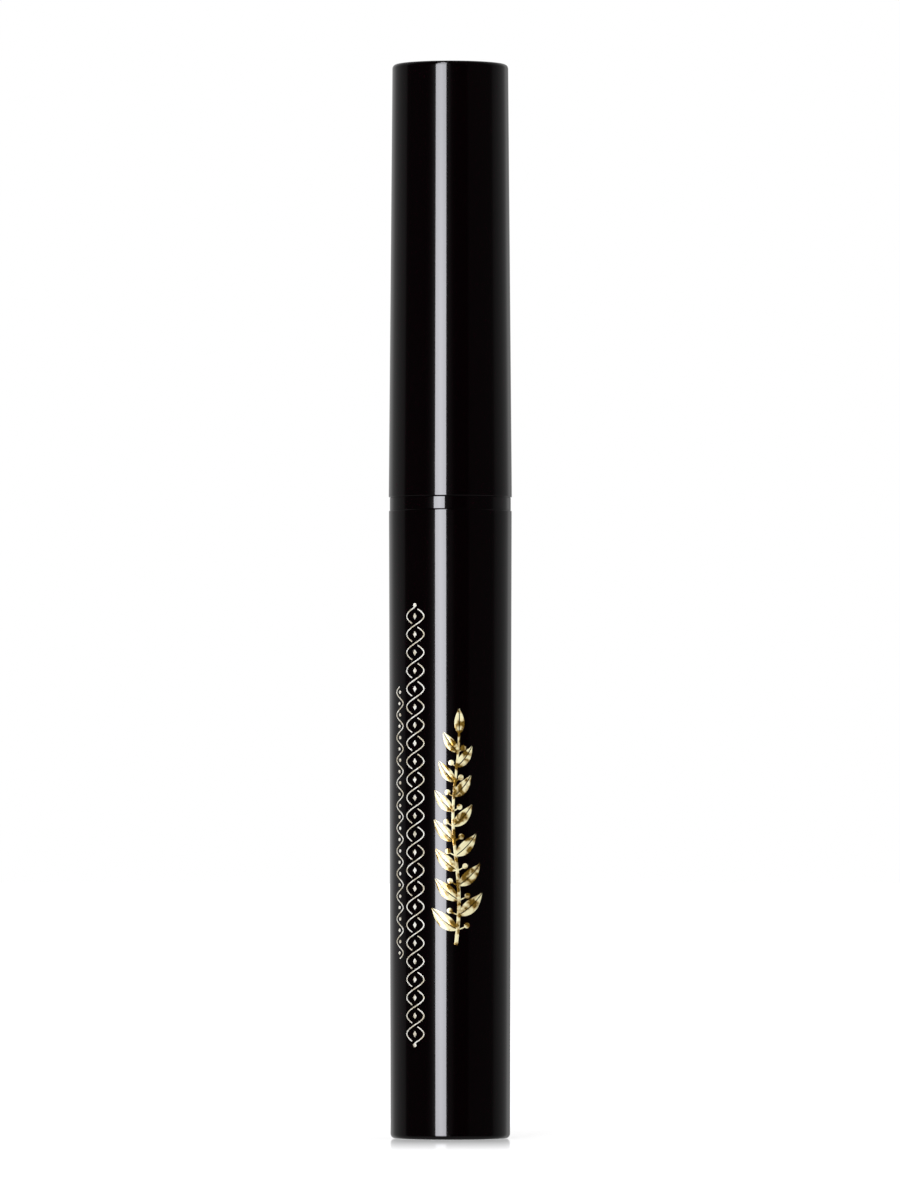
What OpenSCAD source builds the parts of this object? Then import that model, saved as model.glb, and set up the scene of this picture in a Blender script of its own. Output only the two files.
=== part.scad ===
// Felt-tip liquid eyeliner pen with a pull-off cap, standing on its tail.
// Z runs along the pen and the tail rests on Z = 0. All sizes are in millimetres.

/* [Barrel] */
// Length of the outer barrel, from the tail to the collar
barrel_length = 66.65; // [62:0.05:76]
// Outer diameter at the collar end
barrel_top_d = 13.06; // [12.4:0.02:13.6]
// Narrowing of the outer diameter from the collar end to the tail
barrel_taper = 0.36; // [0.1:0.02:0.6]
// Wall of the barrel at its tail end
barrel_wall = 0.99; // [0.85:0.01:1.2]
// Thickness of the web that closes most of the tail end
tail_web = 3; // [2.4:0.1:4]
// Radius of the rounded edge at the tail
base_corner_r = 0.5; // [0.2:0.05:0.7]
// Radius of the small edge breaks on barrel, collar and cap mouth
edge_r = 0.1; // [0.05:0.01:0.18]

/* [Tail plug] */
// Width of the web's rim between the barrel's bore and the plug's hole
tail_rim = 1.1; // [0.8:0.05:1.4]
// Reach of the tail plug's head past its hole
tail_head_reach = 0.5; // [0.35:0.05:0.6]
// Thickness of the tail plug's head
tail_head = 1; // [0.7:0.05:1.4]
// Depth of the head's face above the rim that the pen stands on
tail_recess = 0.15; // [0.05:0.05:0.4]
// Wall of the tail plug's hollow spigot
tail_plug_wall = 0.9; // [0.6:0.05:1.3]

/* [Collar and neck] */
// Depth of the ring between barrel and cap, inwards from the barrel's side
collar_step = 0.09; // [0.02:0.01:0.2]
// Height of the ring between barrel and cap
collar_height = 1.4; // [1:0.05:2.4]
// Length of the neck above the collar
neck_length = 15; // [13:0.5:18]
// Wall of the neck
neck_wall = 0.95; // [0.8:0.05:1.2]
// Chamfer at the front edge of the neck
neck_chamfer = 0.45; // [0.2:0.05:0.5]
// Length of the spigot inside the barrel
spigot_length = 14; // [9:0.5:20]
// Thickness of the lip that holds the nose in place
front_lip = 1; // [0.7:0.05:1.4]
// Reach of that lip, inwards from the neck's bore
front_lip_reach = 0.75; // [0.6:0.05:0.9]
// Height of the snap bead round the neck
bead_height = 0.1; // [0.06:0.01:0.12]
// Width of the snap bead
bead_width = 0.9; // [0.6:0.1:1.4]
// Height of the snap bead above the collar
bead_rise = 2.6; // [2:0.1:4]
// Number of grip ribs along the neck
neck_ribs = 3; // [2:1:6]
// Width of a grip rib
neck_rib_width = 0.5; // [0.3:0.05:0.8]
// Length of a grip rib
neck_rib_length = 6; // [4:0.5:7]

/* [Cap] */
// Length of the cap
cap_length = 46.1; // [43.5:0.1:52]
// Height of the cap's mouth outwards from the barrel's side
cap_overhang = 0.02; // [0:0.01:0.2]
// Narrowing of the outer diameter from the cap's mouth to its top
cap_taper = 0.77; // [0.3:0.01:0.9]
// Radius of the rounded edge at the cap's top
cap_corner_r = 0.45; // [0.3:0.05:0.8]
// Thickness of the cap's end wall
cap_top_wall = 1.1; // [0.8:0.05:1.6]
// Wall of the cap round the insert
cap_wall = 0.9; // [0.8:0.05:1.1]
// Step from the bore that takes the insert to the narrower bore above it
cap_bore_step = 0.45; // [0.3:0.05:0.6]

/* [Cap insert] */
// Wall of the insert
insert_wall = 0.53; // [0.45:0.01:0.7]
// Depth of the insert inside the cap's mouth
insert_recess = 1; // [0.6:0.1:1.5]
// Height of the insert's lip above the end of the neck
insert_headroom = 1.4; // [1:0.1:2]
// Thickness of the insert's lip
insert_lip = 0.8; // [0.6:0.05:1.2]
// Space between the insert's lip and the inner cap
insert_lip_space = 0.47; // [0.3:0.01:0.55]

/* [Inner cap] */
// Wall of the inner cap
inner_wall = 0.75; // [0.6:0.05:0.9]
// End wall of the inner cap
inner_top_wall = 1; // [0.7:0.05:1.4]
// Thickness of the guide flange
guide_flange = 1; // [0.7:0.05:1.4]
// Number of air notches in the guide flange
flange_notches = 4; // [3:1:6]
// Diameter of an air notch
notch_d = 1; // [0.6:0.1:1.2]
// Space between the nib's point and the inner cap's end wall
nib_headroom = 1.5; // [1:0.1:2]
// Space round the nose's tip inside the inner cap
nose_clearance = 0.45; // [0.3:0.05:0.7]
// Travel of the inner cap against its spring, until its stem meets the cap's boss
inner_travel = 1.2; // [0.8:0.1:1.6]

/* [Cap spring] */
// Diameter of the spring's wire
spring_wire_d = 0.4; // [0.3:0.02:0.5]
// Diameter of the spring, measured to the middle of the wire
spring_mean_d = 4; // [3.6:0.1:4.2]
// Number of turns
spring_turns = 7; // [5:1:8]
// Height of the boss that centres the spring under the cap's end wall
boss_height = 1.2; // [0.8:0.1:1.6]

/* [Nose] */
// Length of the nose above the neck
nose_length = 10; // [8.5:0.1:11]
// Height of the land above the neck
land_height = 1.5; // [1:0.1:2]
// Thickness of the nose's rear flange
nose_flange = 1.5; // [1:0.1:2]
// Diameter of the nose at its tip
nose_tip_d = 3.2; // [3:0.05:3.6]
// Number of vent notches round the nib's sleeve
vent_count = 4; // [3:1:6]
// Width of a vent notch
vent_width = 0.35; // [0.25:0.05:0.5]
// Depth of a vent notch along the nose
vent_depth = 1.2; // [0.8:0.1:1.8]

/* [Nib and wick] */
// Length of the nib that stands out of its sleeve
nib_length = 6.3; // [5:0.1:7]
// Diameter of the nib's shank
nib_d = 1.6; // [1.4:0.02:1.8]
// Diameter of the nib's rounded point
nib_point_d = 0.24; // [0.16:0.02:0.4]
// Outer diameter of the nib's sleeve
sleeve_d = 2.5; // [2.4:0.02:2.6]
// Length of the sleeve that stands out of the nose
sleeve_reach = 0.7; // [0.4:0.05:1]
// Distance of the nib's rear end from the sleeve's rear end
nib_set_in = 1.5; // [1:0.1:3]
// Diameter of the relay wick
wick_d = 1.4; // [1.2:0.02:1.5]
// Length of the wick that reaches into the tank
wick_reach = 2; // [1:0.1:4]

/* [Collector] */
// Spacing of the collector's fins
fin_pitch = 0.95; // [0.8:0.05:1.4]
// Thickness of a fin
fin_thickness = 0.45; // [0.3:0.05:0.6]
// Diameter of the collector's core
core_d = 3.4; // [3:0.1:4]
// Thickness of the flange between tank and front section
collector_flange = 1.2; // [0.8:0.1:2]
// Length of the collector's plug inside the tank
collector_plug = 4; // [3:0.1:5]
// Width of the ink slit along the fins
slit_width = 0.3; // [0.2:0.05:0.5]
// Width of the air slot along the fins
air_slot_width = 1.2; // [0.8:0.1:1.6]
// Depth of the air slot
air_slot_depth = 0.9; // [0.5:0.1:1.2]
// Width of the seal ring's groove
seal_groove_width = 1; // [0.9:0.05:1.4]
// Depth of the seal ring's groove
seal_groove_depth = 0.7; // [0.6:0.02:0.8]

/* [Tank] */
// Bore of the ink tank
tank_bore_d = 4.6; // [4.4:0.05:5]
// Wall of the ink tank
tank_wall = 0.8; // [0.6:0.05:1.1]
// Number of ribs that centre the tank in the barrel
tank_ribs = 4; // [3:1:6]
// Thickness of a centring rib
tank_rib = 0.8; // [0.6:0.05:1.2]
// Thickness of the tank plug's flange
plug_flange = 1; // [0.8:0.05:1.5]
// Length of the tank plug inside the tank
plug_depth = 3; // [2:0.1:5]
// Diameter of the dish in which the mixing ball rests
dish_d = 2.2; // [1.8:0.1:2.4]
// Diameter of the mixing ball
ball_d = 3; // [2.8:0.1:3.4]

/* [Fits] */
// Clearance on each side between pieces that are pressed together
press_gap = 0.02; // [0.01:0.005:0.04]
// Clearance on each side between pieces that slide
run_gap = 0.06; // [0.04:0.01:0.08]
// Clearance on each side between the neck and the cap's insert
cap_gap = 0.15; // [0.14:0.01:0.2]

/* [Hidden] */
$fn = 96;

// Smoothness of the rounded edges, the nib's taper and the spring's wire
corner_steps = 8;
taper_steps = 14;
spring_rings = 8;
spring_sides = 6;

// Overrun of every cut
cut = 0.5;
// Depth to which a rib is sunk into the wall that carries it
rib_root = 0.3;

// Depth of the ball's dish
dish_depth = 0.6;
// Size of the small lead-in chamfers
lead_in = 0.25;
// Power that shapes the nib's taper: 1 is a straight cone, and less is fuller
nib_taper_power = 0.62;

// Radii
barrel_r = barrel_top_d / 2;
base_r = barrel_r - barrel_taper / 2;
bore_r = base_r - barrel_wall;
tail_hole_r = bore_r - tail_rim;
tail_head_r = tail_hole_r + tail_head_reach;
collar_r = barrel_r - collar_step;
cap_mouth_r = barrel_r + cap_overhang;
cap_top_r = cap_mouth_r - cap_taper / 2;
shell_bore_r = cap_mouth_r - cap_wall;
shell_upper_r = shell_bore_r - cap_bore_step;
insert_r = shell_bore_r - press_gap;
insert_bore_r = insert_r - insert_wall;
neck_r = insert_bore_r - cap_gap;
section_bore_r = neck_r - neck_wall;
land_r = section_bore_r - front_lip_reach;
nose_tip_r = nose_tip_d / 2;
nib_r = nib_d / 2;
nib_point_r = nib_point_d / 2;
sleeve_r = sleeve_d / 2;
wick_r = wick_d / 2;
core_r = core_d / 2;
tank_bore_r = tank_bore_d / 2;
tank_r = tank_bore_r + tank_wall;
ball_r = ball_d / 2;
dish_r = dish_d / 2;
wire_r = spring_wire_d / 2;
coil_r = spring_mean_d / 2;
// The boss and the stem clear the flats between the spring's rings
boss_r = (coil_r - wire_r) * cos(180 / spring_rings) - run_gap;
fin_r = section_bore_r - run_gap;
plug_r = tank_bore_r - press_gap;
seal_groove_r = plug_r - seal_groove_depth;

// Heights along the pen, from the tail up
tank_base_z = tail_web + plug_flange;
plug_top_z = tank_base_z + plug_depth;
spigot_end_z = barrel_length - spigot_length;
tank_top_z = spigot_end_z - collector_flange;
collector_back_z = tank_top_z - collector_plug;
seal_z = (collector_back_z + tank_top_z) / 2;
wick_back_z = collector_back_z - wick_reach;
collar_top_z = barrel_length + collar_height;
neck_top_z = collar_top_z + neck_length;
lip_under_z = neck_top_z - front_lip;
nose_back_z = lip_under_z - nose_flange;
land_top_z = neck_top_z + land_height;
nose_tip_z = neck_top_z + nose_length;
sleeve_front_z = nose_tip_z + sleeve_reach;
nib_back_z = land_top_z + nib_set_in;
nib_tip_z = sleeve_front_z + nib_length;
bead_z = collar_top_z + bead_rise;
insert_base_z = collar_top_z + insert_recess;
insert_top_z = neck_top_z + insert_headroom + insert_lip;
inner_ceiling_z = nib_tip_z + nib_headroom;
inner_top_z = inner_ceiling_z + inner_top_wall;
cap_top_z = collar_top_z + cap_length;
cap_ceiling_z = cap_top_z - cap_top_wall;
boss_base_z = cap_ceiling_z - boss_height;
stem_top_z = boss_base_z - inner_travel - run_gap;

// The ball rests on the edge of its dish and rises until it meets the wick
ball_z = plug_top_z + sqrt(ball_r * ball_r - dish_r * dish_r) + press_gap;
ball_travel = wick_back_z - ball_z - ball_r - run_gap;

// Inner cap, wide round the land and narrow round the nose's tip, and the lip that it seats on
inner_mouth_r = land_r + run_gap + press_gap;
inner_mouth_outer_r = inner_mouth_r + inner_wall;
inner_neck_r = nose_tip_r + nose_clearance;
inner_neck_outer_r = inner_neck_r + inner_wall;
insert_lip_r = inner_mouth_outer_r + insert_lip_space;

// Points on a round edge of an outline, given as radius and height
function round_edge(centre_r, centre_z, radius, from_angle, to_angle) = [
    for (i = [0:corner_steps])
        let (a = from_angle + (to_angle - from_angle) * i / corner_steps)
        [centre_r + radius * cos(a), centre_z + radius * sin(a)]
];

// Points of a low bump on an outline: height is measured outwards, and a negative one makes a groove
function bump(radius, middle_z, width, height) = [
    for (i = [0:corner_steps])
        [
            radius + height * sin(180 * i / corner_steps),
            middle_z + width * (i / corner_steps - 1 / 2)
        ]
];

function backwards(points) = [for (i = [len(points) - 1:-1:0]) points[i]];

module turned(outline) rotate_extrude() polygon(outline);

// Copies of the children, evenly spaced round the pen's axis
module around(count) for (i = [0:count - 1]) rotate([0, 0, 360 * i / count]) children();

module barrel() {
    color("#0b0b0d") turned(concat(
        [[tail_head_r + press_gap, 0]],
        round_edge(base_r - base_corner_r, base_corner_r, base_corner_r, -90, 0),
        round_edge(barrel_r - edge_r, barrel_length - edge_r, edge_r, 0, 90),
        [
            [bore_r, barrel_length],
            [bore_r, tail_web],
            [tail_hole_r + press_gap, tail_web],
            [tail_hole_r + press_gap, tail_recess + tail_head],
            [tail_head_r + press_gap, tail_recess + tail_head]
        ]
    ));
}

module tail_plug() {
    head_top_z = tail_recess + tail_head;
    color("#0d0d0f") turned([
        [0, tail_recess],
        [tail_head_r - edge_r, tail_recess],
        [tail_head_r, tail_recess + edge_r],
        [tail_head_r, head_top_z],
        [tail_hole_r, head_top_z],
        [tail_hole_r, tail_web - lead_in],
        [tail_hole_r - lead_in, tail_web],
        [tail_hole_r - tail_plug_wall, tail_web],
        [tail_hole_r - tail_plug_wall, head_top_z],
        [0, head_top_z]
    ]);
}

module ink_tank() {
    color("#dcdcd4") translate([0, 0, tank_base_z])
        linear_extrude(tank_top_z - tank_base_z) difference() {
            union() {
                circle(tank_r);
                intersection() {
                    circle(bore_r - press_gap);
                    around(tank_ribs) translate([0, -tank_rib / 2]) square([bore_r, tank_rib]);
                }
            }
            circle(tank_bore_r);
        }
}

// Plug in the tank's rear end, with a flange that seats on the tail web
module tank_plug() {
    color("#e6e6e0") turned([
        [0, tail_web],
        [bore_r - run_gap, tail_web],
        [bore_r - run_gap, tank_base_z],
        [plug_r, tank_base_z],
        [plug_r, plug_top_z - lead_in],
        [plug_r - lead_in, plug_top_z],
        [dish_r, plug_top_z],
        [dish_r, plug_top_z - dish_depth],
        [0, plug_top_z - dish_depth]
    ]);
}

module mixing_ball() {
    color("#c8c8cc") translate([0, 0, ball_z]) sphere(ball_r);
}

module seal_ring() {
    section_r = (tank_bore_r - seal_groove_r) / 2 - press_gap;
    color("#1a1a1a") rotate_extrude()
        translate([(tank_bore_r + seal_groove_r) / 2, seal_z]) circle(section_r);
}

// Comb of thin fins on a core, with a plug that seals the tank
module collector() {
    wick_hole_r = wick_r + press_gap;
    fin_zone = nose_back_z - spigot_end_z;
    fins = floor((fin_zone - fin_thickness) / fin_pitch);
    hub_z = spigot_end_z + fins * fin_pitch;
    color("#c9b49a") difference() {
        turned(concat(
            [
                [wick_hole_r, collector_back_z],
                [plug_r - lead_in, collector_back_z],
                [plug_r, collector_back_z + lead_in],
                [plug_r, seal_z - seal_groove_width / 2],
                [seal_groove_r, seal_z - seal_groove_width / 2],
                [seal_groove_r, seal_z + seal_groove_width / 2],
                [plug_r, seal_z + seal_groove_width / 2],
                [plug_r, tank_top_z],
                [bore_r - press_gap, tank_top_z],
                [bore_r - press_gap, spigot_end_z],
                [core_r, spigot_end_z]
            ],
            [
                for (i = [1:fins])
                    let (top_z = spigot_end_z + i * fin_pitch)
                    each [
                        [core_r, top_z - fin_thickness],
                        [fin_r, top_z - fin_thickness],
                        [fin_r, top_z],
                        [core_r, top_z]
                    ]
            ],
            [[core_r, nose_back_z], [wick_hole_r, nose_back_z]]
        ));
        translate([wick_r, -slit_width / 2, spigot_end_z + fin_pitch / 2])
            cube([fin_r + cut, slit_width, hub_z - spigot_end_z - fin_pitch]);
        translate([-fin_r - cut, -air_slot_width / 2, spigot_end_z + fin_pitch / 4])
            cube([air_slot_depth + cut, air_slot_width, nose_back_z - spigot_end_z]);
    }
}

module relay_wick() {
    color("#3a3a3c") turned([
        [0, wick_back_z],
        [wick_r - lead_in, wick_back_z],
        [wick_r, wick_back_z + lead_in],
        [wick_r, nib_back_z],
        [0, nib_back_z]
    ]);
}

// Spigot in the barrel, collar that shows, and neck that carries the cap
module front_section() {
    color("#101012") union() {
        turned(concat(
            [
                [section_bore_r, spigot_end_z],
                [bore_r - press_gap, spigot_end_z],
                [bore_r - press_gap, barrel_length]
            ],
            round_edge(collar_r - edge_r, barrel_length + edge_r, edge_r, -90, 0),
            round_edge(collar_r - edge_r, collar_top_z - edge_r, edge_r, 0, 90),
            [[neck_r, collar_top_z]],
            bump(neck_r, bead_z, bead_width, bead_height),
            [
                [neck_r, neck_top_z - neck_chamfer],
                [neck_r - neck_chamfer, neck_top_z],
                [land_r + press_gap, neck_top_z],
                [land_r + press_gap, lip_under_z],
                [section_bore_r, lip_under_z]
            ]
        ));
        around(neck_ribs)
            translate([neck_r - rib_root, -neck_rib_width / 2, bead_z + bead_width])
            cube([rib_root + bead_height, neck_rib_width, neck_rib_length]);
    }
}

module nose_cone() {
    wick_hole_r = wick_r + press_gap;
    sleeve_seat_r = sleeve_r + press_gap;
    color("#101012") difference() {
        turned(concat(
            [
                [wick_hole_r, nose_back_z],
                [section_bore_r - press_gap, nose_back_z],
                [section_bore_r - press_gap, lip_under_z],
                [land_r, lip_under_z]
            ],
            round_edge(land_r - edge_r, land_top_z - edge_r, edge_r, 0, 90),
            round_edge(nose_tip_r - edge_r, nose_tip_z - edge_r, edge_r, 0, 90),
            [
                [sleeve_seat_r, nose_tip_z],
                [sleeve_seat_r, land_top_z],
                [wick_hole_r, land_top_z]
            ]
        ));
        around(vent_count)
            translate([0, -vent_width / 2, nose_tip_z - vent_depth])
            cube([sleeve_seat_r + (nose_tip_r - sleeve_seat_r) / 2, vent_width, vent_depth + cut]);
    }
}

module nib_sleeve() {
    color("#2b2b2e") turned(concat(
        [
            [wick_r + press_gap, land_top_z],
            [sleeve_r, land_top_z]
        ],
        round_edge(sleeve_r - edge_r, sleeve_front_z - edge_r, edge_r, 0, 90),
        [
            [nib_r + press_gap, sleeve_front_z],
            [nib_r + press_gap, nib_back_z],
            [wick_r + press_gap, nib_back_z]
        ]
    ));
}

// Straight shank in the sleeve, then a full taper to a fine round point
module felt_nib() {
    taper_length = nib_length - nib_point_r;
    color("#161618") turned(concat(
        [[0, nib_back_z], [nib_r, nib_back_z]],
        [
            for (i = [0:taper_steps - 1])
                let (along = i / taper_steps)
                [
                    nib_point_r + (nib_r - nib_point_r) * pow(1 - along, nib_taper_power),
                    sleeve_front_z + taper_length * along
                ]
        ],
        round_edge(0, nib_tip_z - nib_point_r, nib_point_r, 0, 90)
    ));
}

module cap_shell() {
    color("#0b0b0d") turned(concat(
        round_edge(cap_mouth_r - edge_r, collar_top_z + edge_r, edge_r, -90, 0),
        round_edge(cap_top_r - cap_corner_r, cap_top_z - cap_corner_r, cap_corner_r, 0, 90),
        [
            [0, cap_top_z],
            [0, boss_base_z],
            [boss_r, boss_base_z],
            [boss_r, cap_ceiling_z]
        ],
        backwards(round_edge(
            shell_upper_r - cap_corner_r, cap_ceiling_z - cap_corner_r, cap_corner_r, 0, 90
        )),
        [
            [shell_upper_r, insert_top_z],
            [shell_bore_r, insert_top_z],
            [shell_bore_r, collar_top_z + lead_in],
            [shell_bore_r + lead_in, collar_top_z]
        ]
    ));
}

// Sleeve that snaps over the neck's bead and keeps the inner cap in the shell
module cap_insert() {
    lip_base_z = insert_top_z - insert_lip;
    color("#d9d9d6") turned(concat(
        [
            [insert_bore_r + lead_in, insert_base_z],
            [insert_r, insert_base_z],
            [insert_r, insert_top_z],
            [insert_lip_r, insert_top_z],
            [insert_lip_r, lip_base_z],
            [insert_bore_r, lip_base_z]
        ],
        backwards(bump(insert_bore_r, bead_z, bead_width, bead_height)),
        [[insert_bore_r, insert_base_z + lead_in]]
    ));
}

// Cup that closes round the nose and keeps the nib wet
module inner_cap() {
    flange_top_z = insert_top_z + guide_flange;
    flange_r = shell_upper_r - run_gap;
    color("#ecece8") difference() {
        turned([
            [inner_mouth_r, neck_top_z],
            [inner_mouth_outer_r - edge_r, neck_top_z],
            [inner_mouth_outer_r, neck_top_z + edge_r],
            [inner_mouth_outer_r, insert_top_z],
            [flange_r, insert_top_z],
            [flange_r, flange_top_z],
            [inner_mouth_outer_r, flange_top_z],
            [inner_neck_outer_r, nose_tip_z],
            [inner_neck_outer_r, inner_top_z - edge_r],
            [inner_neck_outer_r - edge_r, inner_top_z],
            [boss_r, inner_top_z],
            [boss_r, stem_top_z - lead_in],
            [boss_r - lead_in, stem_top_z],
            [0, stem_top_z],
            [0, inner_ceiling_z],
            [inner_neck_r, inner_ceiling_z],
            [inner_neck_r, nose_tip_z],
            [inner_mouth_r, land_top_z]
        ]);
        around(flange_notches)
            translate([flange_r, 0, insert_top_z - cut])
            cylinder(d = notch_d, h = guide_flange + 2 * cut);
    }
}

// Rings of points along the helix of the spring's wire
function helix_angle(i) = 360 * i / spring_rings;
function helix_z(i) =
    inner_top_z + wire_r + press_gap
    + (cap_ceiling_z - inner_top_z - spring_wire_d - 2 * press_gap) * i / (spring_turns * spring_rings);
function helix_point(i) = [coil_r * cos(helix_angle(i)), coil_r * sin(helix_angle(i)), helix_z(i)];
function helix_ring(i) = [
    for (k = [0:spring_sides - 1])
        let (a = 360 * k / spring_sides, out = coil_r + wire_r * cos(a))
        [out * cos(helix_angle(i)), out * sin(helix_angle(i)), helix_z(i) + wire_r * sin(a)]
];

module cap_spring() {
    last = spring_turns * spring_rings;
    points = [for (i = [0:last]) each helix_ring(i)];
    sides = [
        for (i = [0:last - 1], k = [0:spring_sides - 1])
            let (
                next = (k + 1) % spring_sides,
                a = i * spring_sides + k,
                b = i * spring_sides + next,
                c = a + spring_sides,
                d = b + spring_sides
            )
            each [[a, b, d], [a, d, c]]
    ];
    start = [for (k = [1:spring_sides - 2]) [0, k + 1, k]];
    end_ring = last * spring_sides;
    end = [for (k = [1:spring_sides - 2]) [end_ring, end_ring + k, end_ring + k + 1]];
    color("#b9bbc0") polyhedron(points, concat(start, sides, end));
}

// Least gap between neighbouring turns, measured between points on the wire's middle line
spring_gap = min([
    for (i = [0:spring_turns * spring_rings - spring_rings / 2])
        for (j = [i + spring_rings / 2:spring_turns * spring_rings])
            norm(helix_point(i) - helix_point(j)) - spring_wire_d
]);
echo(spring_least_gap = spring_gap, ball_travel = ball_travel);

barrel();
tail_plug();
ink_tank();
tank_plug();
mixing_ball();
seal_ring();
collector();
relay_wick();
front_section();
nose_cone();
nib_sleeve();
felt_nib();
cap_shell();
cap_insert();
inner_cap();
cap_spring();
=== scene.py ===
"""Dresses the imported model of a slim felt-tip liquid eyeliner pen.

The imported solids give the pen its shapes. This file gives them their plastics, metals and
fibre, stamps the gold ornament on the barrel, builds the nib and the wick from fibres, and
stands the pen on a white table under one tall softbox.
"""

import logging
import math
from abc import ABC, abstractmethod
from collections.abc import Iterator, Sequence
from dataclasses import dataclass, field, replace
from enum import Enum

import bpy
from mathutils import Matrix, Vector


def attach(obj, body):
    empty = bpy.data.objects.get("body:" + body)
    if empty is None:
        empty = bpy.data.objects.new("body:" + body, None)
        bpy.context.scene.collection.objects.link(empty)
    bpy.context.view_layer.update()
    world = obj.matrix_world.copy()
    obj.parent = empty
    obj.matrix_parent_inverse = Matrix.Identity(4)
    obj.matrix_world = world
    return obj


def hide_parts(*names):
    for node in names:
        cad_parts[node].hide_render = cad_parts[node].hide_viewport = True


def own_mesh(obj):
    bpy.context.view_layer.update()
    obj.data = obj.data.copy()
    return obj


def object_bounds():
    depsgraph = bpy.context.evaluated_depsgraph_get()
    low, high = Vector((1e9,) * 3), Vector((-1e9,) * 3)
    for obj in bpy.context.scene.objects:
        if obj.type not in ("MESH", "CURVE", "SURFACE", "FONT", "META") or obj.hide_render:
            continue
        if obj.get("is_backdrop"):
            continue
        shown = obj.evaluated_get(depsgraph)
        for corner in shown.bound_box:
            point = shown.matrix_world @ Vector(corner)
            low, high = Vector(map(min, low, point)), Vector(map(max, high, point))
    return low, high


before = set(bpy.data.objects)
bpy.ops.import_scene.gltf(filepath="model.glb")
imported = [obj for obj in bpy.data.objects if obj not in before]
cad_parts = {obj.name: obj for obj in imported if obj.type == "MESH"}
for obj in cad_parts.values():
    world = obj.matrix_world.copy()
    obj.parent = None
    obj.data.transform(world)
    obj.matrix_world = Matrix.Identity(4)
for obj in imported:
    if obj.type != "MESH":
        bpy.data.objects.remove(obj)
cad_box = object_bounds()

MM = 0.001

# A noise pattern's low and high flecks lie about here.
FLECKS = (0.25, 0.75)

# Points are one where they agree to this many digits of a millimetre.
WELD_DIGITS = 5

# A colour mix has its two colours at these inputs, and its result at this output.
MIX_FIRST, MIX_SECOND, MIX_RESULT = 6, 7, 2

log = logging.getLogger("eyeliner_pen")

Point = tuple[float, float]
Axes = tuple[float, float, float]
Colour = tuple[float, float, float, float]
Settings = dict[str | int, object]
Links = dict[str | int, bpy.types.NodeSocket]


class Body(Enum):
    """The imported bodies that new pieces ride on."""

    PEN = "pen"
    SPRING = "spring"


class Slot(Enum):
    """The record's material slots that match the new pieces' finishes."""

    GOLD_FOIL = "gold_foil"
    FIBRE = "fibre"
    STEEL = "steel"


class Ray(Enum):
    """The kinds of ray that a light or a background can tell apart."""

    CAMERA = "Is Camera Ray"
    GLOSSY = "Is Glossy Ray"
    TRANSMISSION = "Is Transmission Ray"


class Outline(Enum):
    """The outlines of the ornament's dots, each with the power of its curve."""

    LOZENGE = 1.0
    ELLIPSE = 2.0


def linear(code: str) -> Colour:
    """Turns an sRGB hex value to a linear colour.

    Args:
        code: The colour as "#RRGGBB".

    Returns:
        Red, green, blue and an alpha of 1.
    """
    shares = [int(code[i : i + 2], 16) / 255 for i in (1, 3, 5)]
    red, green, blue = (
        share / 12.92 if share <= 0.04045 else ((share + 0.055) / 1.055) ** 2.4 for share in shares
    )
    return red, green, blue, 1.0


def grey(level: float) -> Colour:
    """Gives the linear grey of a level."""
    return level, level, level, 1.0


def add_node(
    tree: bpy.types.NodeTree,
    kind: str,
    settings: Settings | None = None,
    links: Links | None = None,
) -> bpy.types.Node:
    """Adds a node with its settings and links.

    Args:
        tree: The tree that the node goes in.
        kind: The node's type.
        settings: Values for inputs, by name or number, and for the node's own properties.
            The name "stops" gives a colour ramp its positions and colours.
        links: The sockets that feed the node's inputs, by the input's name or number.

    Returns:
        The new node.
    """
    node = tree.nodes.new(kind)
    for name, value in (settings or {}).items():
        if name == "stops":
            elements = node.color_ramp.elements
            for index, (position, colour) in enumerate(value):
                element = elements[index] if index < len(elements) else elements.new(position)
                element.position, element.color = position, colour
        elif isinstance(name, int) or name in node.inputs:
            node.inputs[name].default_value = value
        else:
            setattr(node, name, value)
    for name, socket in (links or {}).items():
        tree.links.new(socket, node.inputs[name])
    return node


def limits(ends: Point, part: Point = (0.0, 1.0)) -> Settings:
    """Gives the settings that turn one range of values to another.

    Args:
        ends: What the range's start and end become.
        part: Where the range starts and ends.

    Returns:
        The settings by the names of their inputs.
    """
    return {"From Min": part[0], "From Max": part[1], "To Min": ends[0], "To Max": ends[1]}


def grain(
    tree: bpy.types.NodeTree, size_mm: float, stretch: Axes = (1.0, 1.0, 1.0)
) -> bpy.types.NodeSocket:
    """Adds a noise pattern of a real size, fixed to the piece.

    Args:
        tree: The material's tree.
        size_mm: The size of one fleck.
        stretch: How much longer a fleck is along each axis.

    Returns:
        The pattern's value from 0 to 1.
    """
    place = add_node(tree, "ShaderNodeTexCoord").outputs["Object"]
    scale = [1 / (size_mm * MM * share) for share in stretch]
    fitted = add_node(tree, "ShaderNodeMapping", {"Scale": scale}, {"Vector": place})
    links: Links = {"Vector": fitted.outputs[0]}
    return add_node(tree, "ShaderNodeTexNoise", {"Scale": 1.0}, links).outputs["Fac"]


@dataclass(frozen=True)
class Relief:
    """A fine surface texture, drawn as bump: the size of a fleck, its height and its stretch."""

    size_mm: float
    height_mm: float
    stretch: Axes = (1.0, 1.0, 1.0)

    def normal(
        self, tree: bpy.types.NodeTree, under: bpy.types.NodeSocket | None = None
    ) -> bpy.types.NodeSocket:
        """Adds the texture to a material.

        Args:
            tree: The material's tree.
            under: A coarser texture that this one lies on.

        Returns:
            The bumped normal.
        """
        links: Links = {"Height": grain(tree, self.size_mm, self.stretch)}
        if under:
            links["Normal"] = under
        settings = {"Strength": 1.0, "Distance": self.height_mm * MM}
        return add_node(tree, "ShaderNodeBump", settings, links).outputs[0]


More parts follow.
